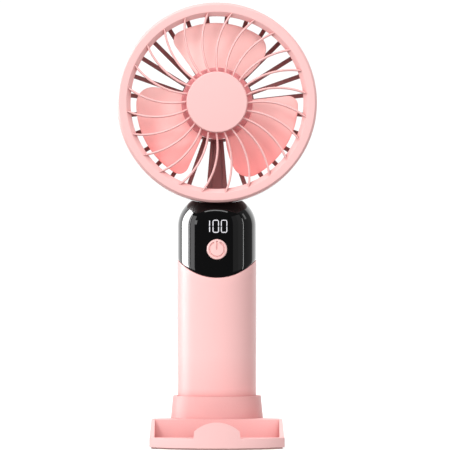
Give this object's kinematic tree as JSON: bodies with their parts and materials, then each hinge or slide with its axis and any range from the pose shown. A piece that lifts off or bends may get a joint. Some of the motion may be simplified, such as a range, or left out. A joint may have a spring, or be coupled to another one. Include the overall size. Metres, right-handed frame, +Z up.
{
  "type": "handheld electric fan",
  "caption": "Round-headed handheld fan with curved front spokes, a black neck with lit digits and a straight handle, standing in a desk stand with a phone slot.",
  "frame": {"origin": "on the handle's axis, on the face the stand rests on", "axes": "+Z up along the handle, -Y the front that the air leaves from, +X to the right as seen from the front"},
  "size_m": [0.101, 0.0745, 0.2243],
  "materials": {
    "pink_shell": "satin moulded ABS",
    "pale_pink": "satin moulded ABS",
    "rose_blade": "glossy moulded plastic",
    "maroon": "satin moulded plastic",
    "gloss_black": "piano black",
    "display_white": "lit digits",
    "steel": "drawn steel",
    "magnet": "sintered ferrite",
    "laminations": "stacked silicon steel",
    "copper": "enamelled copper wire",
    "bronze": "sintered bronze and turned brass",
    "circuit_board": "solder mask on glass fibre",
    "component_black": "moulded epoxy",
    "frame_white": "moulded ABS",
    "wire_insulation": "soft PVC",
    "cell_wrap": "wrapped lithium cell",
    "grip_rubber": "anti-slip sheet"
  },
  "bodies": {
    "stand": {"stand_body": "pale_pink", "stand_cover": "pale_pink", "stand_screws": "steel", "anti_slip_pad": "grip_rubber"},
    "fan": {"front_grille": "pink_shell", "centre_cap": "pink_shell", "rear_shell": "pink_shell", "rear_grille": "maroon", "duct_cover": "maroon", "front_bearing": "bronze", "rear_bearing": "bronze", "bearing_tube": "bronze", "stator_core": "laminations", "stator_coils": "copper", "motor_board": "circuit_board", "motor_screws": "steel", "motor_lead": "wire_insulation", "neck_cover": "gloss_black", "display_digits": "display_white", "display_module": "component_black", "tact_switch": "steel", "main_board": "circuit_board", "board_components": "component_black", "board_screws": "steel", "inner_frame": "frame_white", "stem_screws": "steel", "battery_cell": "cell_wrap", "battery_tabs": "steel", "battery_leads": "wire_insulation", "handle_sleeve": "pink_shell", "bottom_cap": "pink_shell", "usb_board": "circuit_board", "usb_receptacle": "steel", "usb_leads": "wire_insulation"},
    "rotor": {"impeller": "rose_blade", "rotor_cup": "steel", "magnet_ring": "magnet", "motor_shaft": "steel"},
    "button": {"button_cap": "pale_pink", "switch_plunger": "component_black"}
  },
  "joints": [
    {"name": "fan_lift", "type": "slide", "parent": "stand", "child": "fan", "axis": [0, 0, 1], "range_m": [0, 0.02]},
    {"name": "impeller_spin", "type": "hinge", "parent": "fan", "child": "rotor", "pos_m": [0, 0, 0.1738], "axis": [0, -1, 0], "continuous": true},
    {"name": "button_press", "type": "slide", "parent": "fan", "child": "button", "axis": [0, 1, 0], "range_m": [0, 0.0006], "stiffness_N_per_m": 400}
  ]
}
